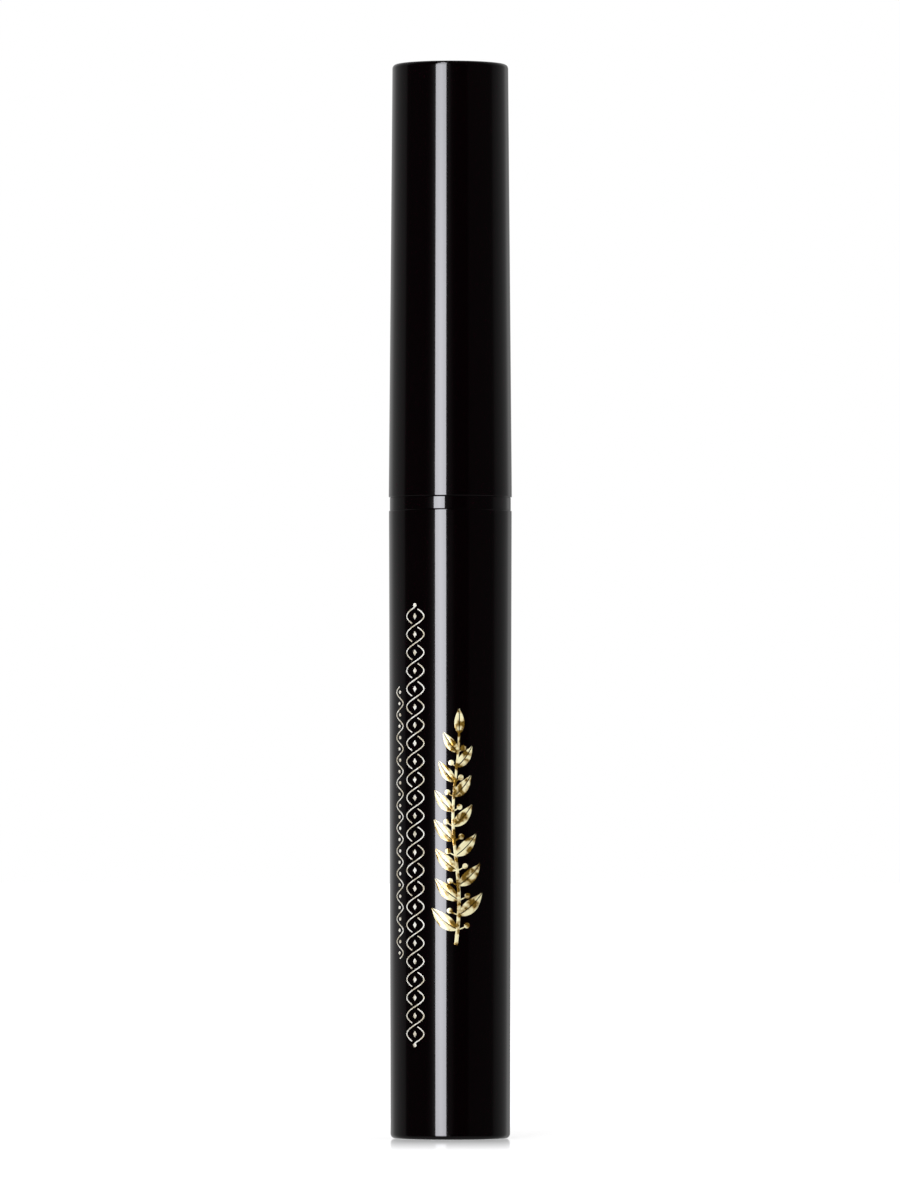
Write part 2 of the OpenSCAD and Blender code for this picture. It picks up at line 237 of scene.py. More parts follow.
class Finish(ABC):
    """A finish, which makes one material."""

    name: str

    @abstractmethod
    def surface(self, tree: bpy.types.NodeTree) -> bpy.types.NodeSocket:
        """Adds the finish's own nodes.

        Args:
            tree: The material's tree, still empty.

        Returns:
            The shader of the surface.
        """

    def build(self) -> bpy.types.Material:
        """Makes the material.

        Returns:
            The material.
        """
        material = bpy.data.materials.new(self.name)
        material.use_nodes = True
        tree = material.node_tree
        tree.nodes.clear()
        add_node(tree, "ShaderNodeOutputMaterial", links={"Surface": self.surface(tree)})
        return material


@dataclass(frozen=True)
class Moulded(Finish):
    """One plastic or rubber, with the skin that its mould gave it.

    The colour drifts between two near tones, the roughness varies a little with the flow
    marks, and one or two reliefs give the mould's texture. The lean is how far the skin
    slopes to the right on a piece that is a little out of round.
    """

    name: str
    tone: str
    other_tone: str
    drift_mm: float
    roughness: Point
    reliefs: tuple[Relief, ...]
    fixed: Settings = field(default_factory=dict)
    lean: float = 0.0
    tone_part: Point = (0.22, 0.78)

    def surface(self, tree: bpy.types.NodeTree) -> bpy.types.NodeSocket:
        """Adds the tones, the gloss and the reliefs.

        Args:
            tree: The material's tree, still empty.

        Returns:
            The shader of the surface.
        """
        drift = grain(tree, self.drift_mm)
        stops = list(zip(self.tone_part, (linear(self.tone), linear(self.other_tone))))
        colour = add_node(tree, "ShaderNodeValToRGB", {"stops": stops}, {"Fac": drift})
        gloss = limits(self.roughness, FLECKS)
        roughness = add_node(tree, "ShaderNodeMapRange", gloss, {"Value": drift})
        normal = None
        if self.lean:
            skin = add_node(tree, "ShaderNodeNewGeometry").outputs["Normal"]
            slope = (self.lean, 0.0, 0.0)
            normal = add_node(tree, "ShaderNodeVectorMath", {1: slope}, {0: skin}).outputs[0]
        for relief in self.reliefs:
            normal = relief.normal(tree, normal)
        links: Links = {
            "Base Color": colour.outputs[0],
            "Roughness": roughness.outputs[0],
            "Normal": normal,
            "Coat Normal": normal,
        }
        return add_node(tree, "ShaderNodeBsdfPrincipled", self.fixed, links).outputs[0]


@dataclass(frozen=True)
class HotStampedFoil(Finish):
    """Gold foil pressed on the barrel with a hot die.

    It takes better in some patches than in others. Where it lies flat it is a deep gold
    mirror, and where it crinkles it is paler and scatters the light like a matt paint. Its
    clear lacquer turns it white where it meets the softbox. A real lacquer's IOR is 1.5, and
    this one is matched to how white the foil gets there.
    """

    name: str
    pale: str
    deep: str
    roughness: Point
    reliefs: tuple[Relief, ...]
    metallic: Point
    patch_mm: float = 0.9
    patch_part: Point = (0.42, 0.56)
    lacquer_roughness: float = 0.06
    lacquer_ior: float = 1.8

    def surface(self, tree: bpy.types.NodeTree) -> bpy.types.NodeSocket:
        """Adds the patches, the crinkles and the lacquer.

        Args:
            tree: The material's tree, still empty.

        Returns:
            The shader of the surface.
        """
        patches = grain(tree, self.patch_mm)
        stops = list(zip(self.patch_part, (linear(self.deep), linear(self.pale))))
        colour = add_node(tree, "ShaderNodeValToRGB", {"stops": stops}, {"Fac": patches})
        links: Links = {"Base Color": colour.outputs[0]}
        for name, ends in (("Metallic", self.metallic), ("Roughness", self.roughness)):
            settings = limits(ends, self.patch_part)
            ranged = add_node(tree, "ShaderNodeMapRange", settings, {"Value": patches})
            links[name] = ranged.outputs[0]
        normal = None
        for relief in self.reliefs:
            normal = relief.normal(tree, normal)
        links["Normal"] = normal
        lacquer: Settings = {
            "Coat Weight": 1.0,
            "Coat Roughness": self.lacquer_roughness,
            "Coat IOR": self.lacquer_ior,
        }
        return add_node(tree, "ShaderNodeBsdfPrincipled", lacquer, links).outputs[0]


@dataclass(frozen=True)
class DrawnSteel(Finish):
    """Bright steel with fine marks along the way it was drawn or rolled."""

    name: str
    tone: str = "#C9C9CC"
    roughness: Point = (0.16, 0.3)
    mark: Relief = Relief(0.05, 0.001, (1.0, 1.0, 6.0))

    def surface(self, tree: bpy.types.NodeTree) -> bpy.types.NodeSocket:
        """Adds the marks.

        Args:
            tree: The material's tree, still empty.

        Returns:
            The shader of the surface.
        """
        marks = grain(tree, self.mark.size_mm, self.mark.stretch)
        gloss = limits(self.roughness, FLECKS)
        roughness = add_node(tree, "ShaderNodeMapRange", gloss, {"Value": marks})
        links: Links = {"Roughness": roughness.outputs[0], "Normal": self.mark.normal(tree)}
        metal: Settings = {"Base Color": linear(self.tone), "Metallic": 1.0}
        return add_node(tree, "ShaderNodeBsdfPrincipled", metal, links).outputs[0]


# Black ABS, moulded in a polished steel mould and lacquered clear, as cosmetics tubes are.
# The eye gets a deep black mirror whose highlight has a crisp edge.
GLOSS_BLACK = Moulded(
    name="abs_black_lacquered",
    tone="#030001",
    other_tone="#040001",
    drift_mm=9.0,
    roughness=(0.05, 0.09),
    reliefs=(Relief(7.0, 0.0025),),
    fixed={"IOR": 1.5, "Coat Weight": 1.0, "Coat Roughness": 0.02, "Coat IOR": 1.5},
)

# The same plastic on the front section, which left its mould a little out of round. The eye
# gets the same highlight, but at the joint it stands slightly beside the others.
GLOSS_BLACK_OVAL = replace(GLOSS_BLACK, name="abs_black_lacquered_oval", lean=0.0255)

# Black polypropylene from an eroded mould. The eye gets a soft, even sheen.
SATIN_BLACK = Moulded(
    name="polypropylene_black_satin",
    tone="#0B0B0C",
    other_tone="#111113",
    drift_mm=3.0,
    roughness=(0.32, 0.42),
    reliefs=(Relief(0.12, 0.003),),
    fixed={"IOR": 1.49},
)

# Unpigmented polypropylene. The eye gets a milky, waxy white that light sinks into.
NATURAL_PLASTIC = Moulded(
    name="polypropylene_natural",
    tone="#DCDBD2",
    other_tone="#E6E5DE",
    drift_mm=4.0,
    roughness=(0.26, 0.38),
    reliefs=(Relief(0.5, 0.003),),
    fixed={
        "IOR": 1.49,
        "Subsurface Weight": 0.35,
        "Subsurface Radius": (1.0, 0.95, 0.85),
        "Subsurface Scale": 0.6 * MM,
    },
)

# Wetting-grade ABS in thin fins. The eye gets a warm tan with the faint lines of the cutter
# that made the mould.
COLLECTOR_PLASTIC = Moulded(
    name="abs_wetting_grade",
    tone="#C9AE8C",
    other_tone="#D3BA9A",
    drift_mm=2.5,
    roughness=(0.4, 0.52),
    reliefs=(Relief(0.15, 0.003, (4.0, 4.0, 1.0)),),
    fixed={"IOR": 1.53},
)

# Nitrile rubber, moulded. The eye gets a dull black with a fine matt skin.
SEAL_RUBBER = Moulded(
    name="nitrile_rubber_moulded",
    tone="#1A1A1A",
    other_tone="#222221",
    drift_mm=1.0,
    roughness=(0.6, 0.72),
    reliefs=(Relief(0.06, 0.002),),
    fixed={"IOR": 1.52},
)

# Polyester fibres bonded to a rod and soaked with black liquid. The eye gets fine lines
# along the rod, slightly lighter where a fibre is drier. A real fibre is 0.02 mm thick, and
# the lines are drawn at 0.06 mm so that they show.
BONDED_FIBRE = Moulded(
    name="polyester_fibre_soaked",
    tone="#0B0A0C",
    other_tone="#1E1C1F",
    drift_mm=0.25,
    roughness=(0.42, 0.62),
    reliefs=(Relief(0.3, 0.01, (1.0, 1.0, 12.0)), Relief(0.06, 0.008, (1.0, 1.0, 30.0))),
    fixed={"IOR": 1.45, "Sheen Weight": 0.15, "Sheen Roughness": 0.4},
)

# Bright gold foil that keeps the crinkles of the stamping. The eye gets a yellow gold that
# turns white where it meets the softbox and breaks to brown away from it.
GOLD_FOIL = HotStampedFoil(
    name="gold_foil_hot_stamped",
    pale="#FFF6C4",
    deep="#CC9F3C",
    roughness=(0.18, 0.5),
    reliefs=(Relief(0.8, 0.03), Relief(0.25, 0.01)),
    metallic=(0.75, 0.12),
)

# Matt champagne foil. The eye gets an even cream with a breath of gold.
CHAMPAGNE_FOIL = HotStampedFoil(
    name="champagne_foil_matt",
    pale="#FFFDF2",
    deep="#F1E7CC",
    roughness=(0.45, 0.6),
    reliefs=(Relief(0.8, 0.02), Relief(0.2, 0.006)),
    metallic=(0.3, 0.1),
)

# Chrome steel, tumbled to a polish. The eye gets a small bright mirror.
BALL_STEEL = DrawnSteel("steel_ball_polished", roughness=(0.08, 0.14))

# Spring steel wire, bright from the die that it was drawn through. The eye gets a satin
# metal with fine lines round the coil.
SPRING_STEEL = DrawnSteel("steel_spring_drawn", mark=Relief(0.05, 0.001, (6.0, 6.0, 1.0)))


def dress(material: bpy.types.Material, *nodes: str) -> None:
    """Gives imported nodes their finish.

    Args:
        material: The finish.
        nodes: The nodes' names.
    """
    for name in nodes:
        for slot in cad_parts[name].material_slots:
            slot.material = material
        log.info("%s is dressed in %s", name, material.name)


@dataclass
class Piece:
    """A new piece as it is gathered: its points in millimetres and its faces."""

    name: str
    points: list[Vector] = field(default_factory=list)
    faces: list[tuple[int, ...]] = field(default_factory=list)
    smooth: list[bool] = field(default_factory=list)
    known: dict[tuple[float, ...], int] = field(default_factory=dict)

    def add_point(self, point: Vector) -> int:
        """Adds a point, unless it is there already.

        Args:
            point: Its place in millimetres.

        Returns:
            Its number.
        """
        place = tuple(round(part, WELD_DIGITS) for part in point)
        if place not in self.known:
            self.known[place] = len(self.points)
            self.points.append(point)
        return self.known[place]

    def add_face(self, *corners: int, smooth: bool = True) -> None:
        """Adds a face, unless its corners fall on fewer than three points.

        Args:
            corners: The points' numbers, counter-clockwise from outside.
            smooth: Whether the face is shaded smooth.
        """
        kept = tuple(dict.fromkeys(corners))
        if len(kept) > 2:
            self.faces.append(kept)
            self.smooth.append(smooth)

    def make(
        self, material: bpy.types.Material, body: Body, slot: Slot, *replaced: str
    ) -> bpy.types.Object:
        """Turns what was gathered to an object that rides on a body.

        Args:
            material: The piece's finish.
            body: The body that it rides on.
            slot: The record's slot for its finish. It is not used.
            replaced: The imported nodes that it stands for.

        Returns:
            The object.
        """
        mesh = bpy.data.meshes.new(self.name)
        mesh.from_pydata([point * MM for point in self.points], [], self.faces)
        mesh.polygons.foreach_set("use_smooth", self.smooth)
        flat = (face.edge_keys for face in mesh.polygons if not face.use_smooth)
        sharp = {key for keys in flat for key in keys}
        for edge in mesh.edges:
            edge.use_edge_sharp = edge.key in sharp
        mesh.materials.append(material)
        made = bpy.data.objects.new(self.name, mesh)
        bpy.context.scene.collection.objects.link(made)
        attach(made, body.value)
        if replaced:
            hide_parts(*replaced)
        log.info("%s has %d faces and rides on %s", made.name, len(self.faces), body.value)
        return made


@dataclass(frozen=True)
class TubeSurface:
    """The barrel's outer face, a slender cone that widens upwards."""

    base_r_mm: float = 6.35
    top_r_mm: float = 6.53
    height_mm: float = 66.65

    def point(self, across: float, up: float, lift: float) -> Vector:
        """Finds a point by its place on the unrolled face.

        Args:
            across: Millimetres to the right of the front, along the face.
            up: Millimetres above the table.
            lift: Millimetres proud of the face.

        Returns:
            The point in millimetres.
        """
        radius = self.base_r_mm + (self.top_r_mm - self.base_r_mm) * up / self.height_mm
        angle = across / radius
        reach = radius + lift
        return Vector((reach * math.sin(angle), -reach * math.cos(angle), up))


@dataclass(frozen=True)
class Die:
    """The die that presses marks of foil on the barrel, each a thin closed piece.

    The foil's edges sink in the plastic, and its middle stands a little proud of them.
    """

    surface: TubeSurface
    proud_mm: float = 0.012
    sunk_mm: float = 0.016
    crown_share: float = 0.09
    column_mm: float = 0.16
    least_columns: int = 4
    dot_steps: int = 12

    def band(
        self, piece: Piece, line: Sequence[Point], left: Sequence[float], right: Sequence[float]
    ) -> None:
        """Presses one mark, a band whose width changes along a line.

        Args:
            piece: The piece that the mark goes in.
            line: Points along the mark, as millimetres across and up.
            left: For each point, how far to the line's right the band starts.
            right: For each point, how far to the line's right it ends.
        """
        widest = max(end - start for start, end in zip(left, right))
        columns = max(self.least_columns, math.ceil(widest / self.column_mm))
        top: list[list[int]] = []
        under: list[list[int]] = []
        for index, (across, up) in enumerate(line):
            before, after = line[max(index - 1, 0)], line[min(index + 1, len(line) - 1)]
            run, rise = after[0] - before[0], after[1] - before[1]
            length = math.hypot(run, rise)
            half = (right[index] - left[index]) / 2
            row = []
            for column in range(columns + 1):
                share = 2 * column / columns - 1
                side = left[index] + half * (1 + share)
                spot = (across + side * rise / length, up - side * run / length)
                lift = self.proud_mm + self.crown_share * half * (1 - share**2)
                row.append(piece.add_point(self.surface.point(*spot, lift)))
                if column == 0:
                    under.append([piece.add_point(self.surface.point(*spot, -self.sunk_mm))])
                elif column == columns:
                    under[-1].append(piece.add_point(self.surface.point(*spot, -self.sunk_mm)))
            top.append(row)
        for low, high, below, above in zip(top, top[1:], under, under[1:]):
            for column in range(columns):
                piece.add_face(low[column], low[column + 1], high[column + 1], high[column])
            piece.add_face(above[0], above[1], below[1], below[0], smooth=False)
            piece.add_face(low[0], high[0], above[0], below[0], smooth=False)
            piece.add_face(high[-1], low[-1], below[1], above[1], smooth=False)
        piece.add_face(*reversed(top[0]), *under[0], smooth=False)
        piece.add_face(*top[-1], *reversed(under[-1]), smooth=False)

    def stroke(self, piece: Piece, line: Sequence[Point], start_mm: float, end_mm: float) -> None:
        """Presses a line whose width goes from one value to another along it.

        Args:
            piece: The piece that the mark goes in.
            line: Points along the mark, as millimetres across and up.
            start_mm: Its width at the first point.
            end_mm: Its width at the last one.
        """
        last = len(line) - 1
        halves = [(start_mm + (end_mm - start_mm) * i / last) / 2 for i in range(len(line))]
        self.band(piece, line, [-half for half in halves], halves)

    def dot(self, piece: Piece, centre: Point, size_mm: Point, outline: Outline) -> None:
        """Presses a dot or a lozenge.

        Args:
            piece: The piece that the mark goes in.
            centre: Where its middle is.
            size_mm: Its width and its height.
            outline: Its outline.
        """
        power = outline.value
        line, halves = [], []
        for index in range(self.dot_steps + 1):
            along = -math.cos(math.pi * index / self.dot_steps)
            line.append((centre[0], centre[1] + along * size_mm[1] / 2))
            halves.append(max(0.0, 1 - abs(along) ** power) ** (1 / power) * size_mm[0] / 2)
        self.band(piece, line, [-half for half in halves], halves)


def between(ends: Point, share: float) -> float:
    """Gives the value at a share of the way between two values.

    Args:
        ends: The two values.
        share: The share, from 0 at the first to 1 at the second.

    Returns:
        The value there.
    """
    return ends[0] + (ends[1] - ends[0]) * share


@dataclass(frozen=True)
class LeafySprig:
    """A slender sprig of almond leaves and berries, stamped upright on the barrel's front.

    Pairs of values are the lowest leaf's and the highest one's, or a line's two ends. The
    leaf's powers set how far below its middle it is widest, and how full it is.
    """

    die: Die
    across_mm: float = 0.6
    foot_mm: float = 20.6
    height_mm: float = 22.6
    sway_mm: float = 0.32
    sway_turns: float = 1.25
    stem_mm: Point = (0.4, 0.22)
    stem_steps: int = 60
    leaves: int = 13
    leaf_at_shares: Point = (0.07, 0.9)
    leaf_mm: Point = (3.6, 2.7)
    leaf_width_share: float = 0.4
    leaf_belly_power: float = 0.8
    leaf_fullness_power: float = 0.9
    vein_mm: float = 0.1
    lean_deg: Point = (62.0, 48.0)
    bend_deg: float = -24.0
    tip_leaf_at_share: float = 0.985
    tip_lean_deg: float = 4.0
    tip_bend_deg: float = -8.0
    berry_mm: Point = (0.6, 0.6)
    stalk_mm: Point = (1.1, 0.7)
    stalk_width_mm: Point = (0.13, 0.1)
    stalk_lean_deg: float = 14.0
    stalk_bend_deg: float = 20.0
    curve_steps: int = 14

    def stem_at(self, share: float) -> Point:
        """Finds the stem's middle at a share of its height."""
        sway = self.sway_mm * math.sin(2 * math.pi * self.sway_turns * share)
        return self.across_mm + sway, self.foot_mm + self.height_mm * share

    def curve(
        self, foot: Point, heading_deg: float, bend_deg: float, length: float
    ) -> list[Point]:
        """Draws a line that bends evenly.

        Args:
            foot: Where it starts.
            heading_deg: Its first heading, clockwise from straight up.
            bend_deg: How far its heading turns along it.
            length: Its length.

        Returns:
            Its points.
        """
        step = length / self.curve_steps
        line = [foot]
        for index in range(self.curve_steps):
            heading = math.radians(heading_deg + bend_deg * (index + 0.5) / self.curve_steps)
            across, up = line[-1]
            line.append((across + step * math.sin(heading), up + step * math.cos(heading)))
        return line

    def leaf(
        self, piece: Piece, foot: Point, heading_deg: float, bend_deg: float, length: float
    ) -> None:
        """Presses a leaf in two halves, with a fine vein left open between them.

        Args:
            piece: The piece that the leaf goes in.
            foot: Where it starts.
            heading_deg: Its first heading, clockwise from straight up.
            bend_deg: How far its heading turns along it.
            length: Its length.
        """
        line = self.curve(foot, heading_deg, bend_deg, length)
        gap = self.vein_mm / 2
        half_width = length * self.leaf_width_share / 2
        outer = []
        for index in range(len(line)):
            along = (index / self.curve_steps) ** self.leaf_belly_power
            swell = math.sin(math.pi * along) ** self.leaf_fullness_power
            outer.append(max(gap, half_width * swell))
        self.die.band(piece, line, [gap] * len(line), outer)
        self.die.band(piece, line, [-reach for reach in outer], [-gap] * len(line))

    def build(self) -> Iterator[Piece]:
        """Gathers the stem, the leaves and the berries.

        Returns:
            The three pieces.
        """
        stem, leaves, berries = Piece("sprig_stem"), Piece("sprig_leaves"), Piece("sprig_berries")
        line = [self.stem_at(index / self.stem_steps) for index in range(self.stem_steps + 1)]
        self.die.stroke(stem, line, *self.stem_mm)
        for index in range(self.leaves):
            share = index / (self.leaves - 1)
            side = 1 if index % 2 else -1
            foot = self.stem_at(between(self.leaf_at_shares, share))
            lean = between(self.lean_deg, share)
            length = between(self.leaf_mm, share)
            self.leaf(leaves, foot, side * lean, side * self.bend_deg, length)
            heading = -side * (lean + self.stalk_lean_deg)
            length = between(self.stalk_mm, share)
            stalk = self.curve(foot, heading, side * self.stalk_bend_deg, length)
            self.die.stroke(berries, stalk, *self.stalk_width_mm)
            self.die.dot(berries, stalk[-1], self.berry_mm, Outline.ELLIPSE)
        tip = self.stem_at(self.tip_leaf_at_share)
        self.leaf(leaves, tip, self.tip_lean_deg, self.tip_bend_deg, self.leaf_mm[1])
        yield from (stem, leaves, berries)


@dataclass(frozen=True)
class RopeBorder:
    """An upright border: a rope of strands that cross, with a lozenge in each eye.

    A shorter waved line with buds in its bends stands beside it, to the left.
    """

    die: Die
    across_mm: float = -4.0
    foot_mm: float = 10.2
    eye_mm: float = 1.92
    eyes: int = 24
    half_width_mm: float = 1.12
    strand_mm: float = 0.125
    gap_mm: float = 0.2
    lozenge_mm: Point = (0.46, 0.68)
    knob_mm: Point = (0.42, 0.42)
    wave_across_mm: float = -6.3
    wave_foot_mm: float = 19.1
    wave_mm: float = 2.4
    waves: int = 12
    wave_half_width_mm: float = 0.6
    wave_line_mm: float = 0.12
    bud_mm: Point = (0.36, 0.36)
    bud_inward_share: float = 0.1
    bend_steps: int = 12
    least_steps: int = 8

    def swing(
        self, middle: Point, half_width: float, half_wave: float, ends: Point
    ) -> list[Point]:
        """Draws a line that swings from side to side as it rises.

        Args:
            middle: Where the line crosses from left to right.
            half_width: How far it swings.
            half_wave: How far it rises from one crossing to the next.
            ends: How far below or above the middle it starts and ends.

        Returns:
            Its points.
        """
        steps = max(self.least_steps, round(self.bend_steps * (ends[1] - ends[0]) / half_wave))
        rises = [between(ends, index / steps) for index in range(steps + 1)]
        return [
            (middle[0] + half_width * math.sin(math.pi * rise / half_wave), middle[1] + rise)
            for rise in rises
        ]

    def build(self) -> Iterator[Piece]:
        """Gathers the rope, the marks in its eyes and the wave beside it.

        Returns:
            The three pieces.
        """
        rope, marks, wave = Piece("border_rope"), Piece("border_marks"), Piece("border_wave")
        reach = self.eye_mm - self.gap_mm
        for crossing in range(self.eyes + 1):
            middle = (self.across_mm, self.foot_mm + self.eye_mm * crossing)
            ends = (0.0 if crossing == 0 else -reach, 0.0 if crossing == self.eyes else reach)
            strand = self.swing(middle, self.half_width_mm, self.eye_mm, ends)
            self.die.stroke(rope, strand, self.strand_mm, self.strand_mm)
            if crossing < self.eyes:
                centre = (middle[0], middle[1] + self.eye_mm / 2)
                self.die.dot(marks, centre, self.lozenge_mm, Outline.LOZENGE)
        half_knob = self.knob_mm[1] / 2
        for end in (self.foot_mm - half_knob, middle[1] + half_knob):
            self.die.dot(marks, (self.across_mm, end), self.knob_mm, Outline.ELLIPSE)
        foot = (self.wave_across_mm, self.wave_foot_mm)
        half_wave = self.wave_mm / 2
        ends = (0.0, self.wave_mm * self.waves)
        line = self.swing(foot, self.wave_half_width_mm, half_wave, ends)
        self.die.stroke(wave, line, self.wave_line_mm, self.wave_line_mm)
        inward = self.bud_inward_share * self.wave_half_width_mm
        for index in range(2 * self.waves):
            side = -1 if index % 2 else 1
            centre = (foot[0] - side * inward, foot[1] + half_wave * (index + 0.5))
            self.die.dot(wave, centre, self.bud_mm, Outline.ELLIPSE)
        yield from (rope, marks, wave)


@dataclass(frozen=True)
class FibreRod:
    """A round rod of bonded fibres, with fine flutes where the outer fibres lie.

    The outline is pairs of a radius and a height. The flutes' depth rises and falls in
    waves round the rod, which turn slowly as they go up it.
    """

    name: str
    outline: tuple[Point, ...]
    flutes: int = 38
    flute_mm: float = 0.022
    points_per_flute: int = 5
    uneven_share: float = 0.35
    uneven_waves: int = 17
    uneven_turn_per_mm: float = 0.25

    def build(self) -> Piece:
        """Gathers the rod, closed at both ends.

        Returns:
            The piece.
        """
        piece = Piece(self.name)
        widest = max(radius for radius, _ in self.outline)
        around = self.flutes * self.points_per_flute
        rings: list[list[int]] = []
        for radius, height in self.outline:
            ring = []
            for index in range(around):
                angle = 2 * math.pi * index / around
                flute = (1 - math.cos(self.flutes * angle)) / 2
                wave = math.sin(self.uneven_waves * angle + self.uneven_turn_per_mm * height)
                uneven = 1 - self.uneven_share + self.uneven_share * wave
                reach = radius - self.flute_mm * flute * uneven * radius / widest
                point = Vector((reach * math.cos(angle), reach * math.sin(angle), height))
                ring.append(piece.add_point(point))
            rings.append(ring)
        for low, high in zip(rings, rings[1:]):
            for index in range(around):
                after = (index + 1) % around
                piece.add_face(low[index], low[after], high[after], high[index])
        piece.add_face(*reversed(rings[0]), smooth=False)
        piece.add_face(*rings[-1], smooth=False)
        return piece


@dataclass(frozen=True)
class CoilSpring:
    """A compression spring of round wire, with closed ends that are ground flat.

    At each end the turns stand close, and over the easing turns they open out.
    """

    bottom_mm: float = 102.58
    top_mm: float = 113.02
    coil_r_mm: float = 2.0
    wire_r_mm: float = 0.2
    turns: int = 7
    closed_turns: float = 0.8
    easing_turns: float = 0.4
    closed_pitch_mm: float = 0.43
    steps_per_turn: int = 32
    sides: int = 10

    def heights(self) -> list[float]:
        """Finds the height of the wire's middle at each step.

        Returns:
            The heights, from the foot up.
        """
        steps = self.turns * self.steps_per_turn
        openings = []
        for index in range(steps):
            turn = (index + 0.5) / self.steps_per_turn
            inward = (min(turn, self.turns - turn) - self.closed_turns) / self.easing_turns
            share = min(max(inward, 0.0), 1.0)
            openings.append(share * share * (3 - 2 * share))
        closed = self.closed_pitch_mm / self.steps_per_turn
        spare = self.top_mm - self.bottom_mm - closed * steps
        heights = [self.bottom_mm]
        for opening in openings:
            heights.append(heights[-1] + closed + spare * opening / sum(openings))
        return heights

    def build(self) -> Piece:
        """Gathers the spring as one closed piece.

        Returns:
            The piece.
        """
        piece = Piece("spring_coil")
        rings: list[list[int]] = []
        for index, height in enumerate(self.heights()):
            turn = 2 * math.pi * index / self.steps_per_turn
            ring = []
            for side in range(self.sides):
                angle = 2 * math.pi * side / self.sides
                reach = self.coil_r_mm + self.wire_r_mm * math.cos(angle)
                level = height + self.wire_r_mm * math.sin(angle)
                level = min(max(level, self.bottom_mm), self.top_mm)
                spot = (reach * math.cos(turn), reach * math.sin(turn), level)
                ring.append(piece.add_point(Vector(spot)))
            rings.append(ring)
        for low, high in zip(rings, rings[1:]):
            for side in range(self.sides):
                after = (side + 1) % self.sides
                piece.add_face(low[side], high[side], high[after], low[after])
        piece.add_face(*rings[0], smooth=False)
        piece.add_face(*reversed(rings[-1]), smooth=False)
        return piece


@dataclass(frozen=True)
class Barrel:
    """The lower tube with its tail plug, and the gold ornament on its front."""

    surface: TubeSurface = TubeSurface()

    def dress(self) -> None:
        """Gives the moulded pieces their plastics."""
        dress(GLOSS_BLACK.build(), "barrel")
        dress(SATIN_BLACK.build(), "tail_plug")

    def stamp_ornament(self) -> None:
        """Presses the sprig and the border on the barrel."""
        die = Die(self.surface)
        for ornament, finish in ((LeafySprig(die), GOLD_FOIL), (RopeBorder(die), CHAMPAGNE_FOIL)):
            foil = finish.build()
            for piece in ornament.build():
                piece.make(foil, Body.PEN, Slot.GOLD_FOIL)


@dataclass(frozen=True)
class InkSupply:
    """The tank with its plug, ball and seal, the finned collector and the wick."""

    wick_r_mm: float = 0.7
    wick_from_mm: float = 45.45
    wick_to_mm: float = 86.05
    wick_steps: int = 20

    def dress(self) -> None:
        """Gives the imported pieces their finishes."""
        dress(NATURAL_PLASTIC.build(), "ink_tank", "tank_plug")
        dress(BALL_STEEL.build(), "mixing_ball")
        dress(SEAL_RUBBER.build(), "seal_ring")
        dress(COLLECTOR_PLASTIC.build(), "collector")

    def build_wick(self, fibre: bpy.types.Material) -> None:
        """Builds the wick from fibres in place of its plain rod.

        Args:
            fibre: The fibres' finish.
        """
        ends = (self.wick_from_mm, self.wick_to_mm)
        heights = [between(ends, index / self.wick_steps) for index in range(self.wick_steps + 1)]
        wick = FibreRod("wick_fibres", tuple((self.wick_r_mm, height) for height in heights))
        wick.build().make(fibre, Body.PEN, Slot.FIBRE, "relay_wick")


@dataclass(frozen=True)
class WritingEnd:
    """The front section that the cap goes on, the nose, the sleeve and the pointed nib."""

    nib_r_mm: float = 0.8
    point_r_mm: float = 0.12
    back_mm: float = 86.05
    sleeve_front_mm: float = 93.75
    tip_mm: float = 100.05
    taper_power: float = 0.62
    taper_steps: int = 36
    point_steps: int = 8

    def dress(self) -> None:
        """Gives the moulded pieces their plastics."""
        dress(GLOSS_BLACK_OVAL.build(), "front_section")
        dress(bpy.data.materials[SATIN_BLACK.name], "nose_cone", "nib_sleeve")

    def build_nib(self, fibre: bpy.types.Material) -> None:
        """Builds the nib from fibres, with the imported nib's taper and rounded point.

        Args:
            fibre: The fibres' finish.
        """
        outline = [(self.nib_r_mm, self.back_mm), (self.nib_r_mm, self.sleeve_front_mm)]
        point_mm = self.tip_mm - self.point_r_mm
        taper = point_mm - self.sleeve_front_mm
        for index in range(1, self.taper_steps):
            along = index / self.taper_steps
            swell = (self.nib_r_mm - self.point_r_mm) * (1 - along) ** self.taper_power
            outline.append((self.point_r_mm + swell, self.sleeve_front_mm + taper * along))
        for index in range(self.point_steps):
            angle = math.pi / 2 * index / self.point_steps
            rise = self.point_r_mm * math.sin(angle)
            outline.append((self.point_r_mm * math.cos(angle), point_mm + rise))
        nib = FibreRod("nib_fibres", tuple(outline))
        nib.build().make(fibre, Body.PEN, Slot.FIBRE, "felt_nib")


@dataclass(frozen=True)
class Cap:
    """The pull-off cap with its insert and the sprung inner cap.

    The spring hangs from the cap's ceiling. When the inner cap has given all the way, the
    spring keeps spring_keep of its height. spring_keep is not used.
    """

    spring: CoilSpring = CoilSpring()
    ceiling_mm: float = 113.03
    spring_keep: float = 0.8855

    def dress(self) -> None:
        """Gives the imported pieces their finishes."""
        dress(bpy.data.materials[GLOSS_BLACK.name], "cap_shell")
        dress(bpy.data.materials[NATURAL_PLASTIC.name], "cap_insert", "inner_cap")

    def wind_spring(self) -> None:
        """Winds the spring in place of its plain helix, so that it shortens under the inner cap."""
        coil = self.spring.build().make(SPRING_STEEL.build(), Body.SPRING, Slot.STEEL, "cap_spring")
        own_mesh(coil)


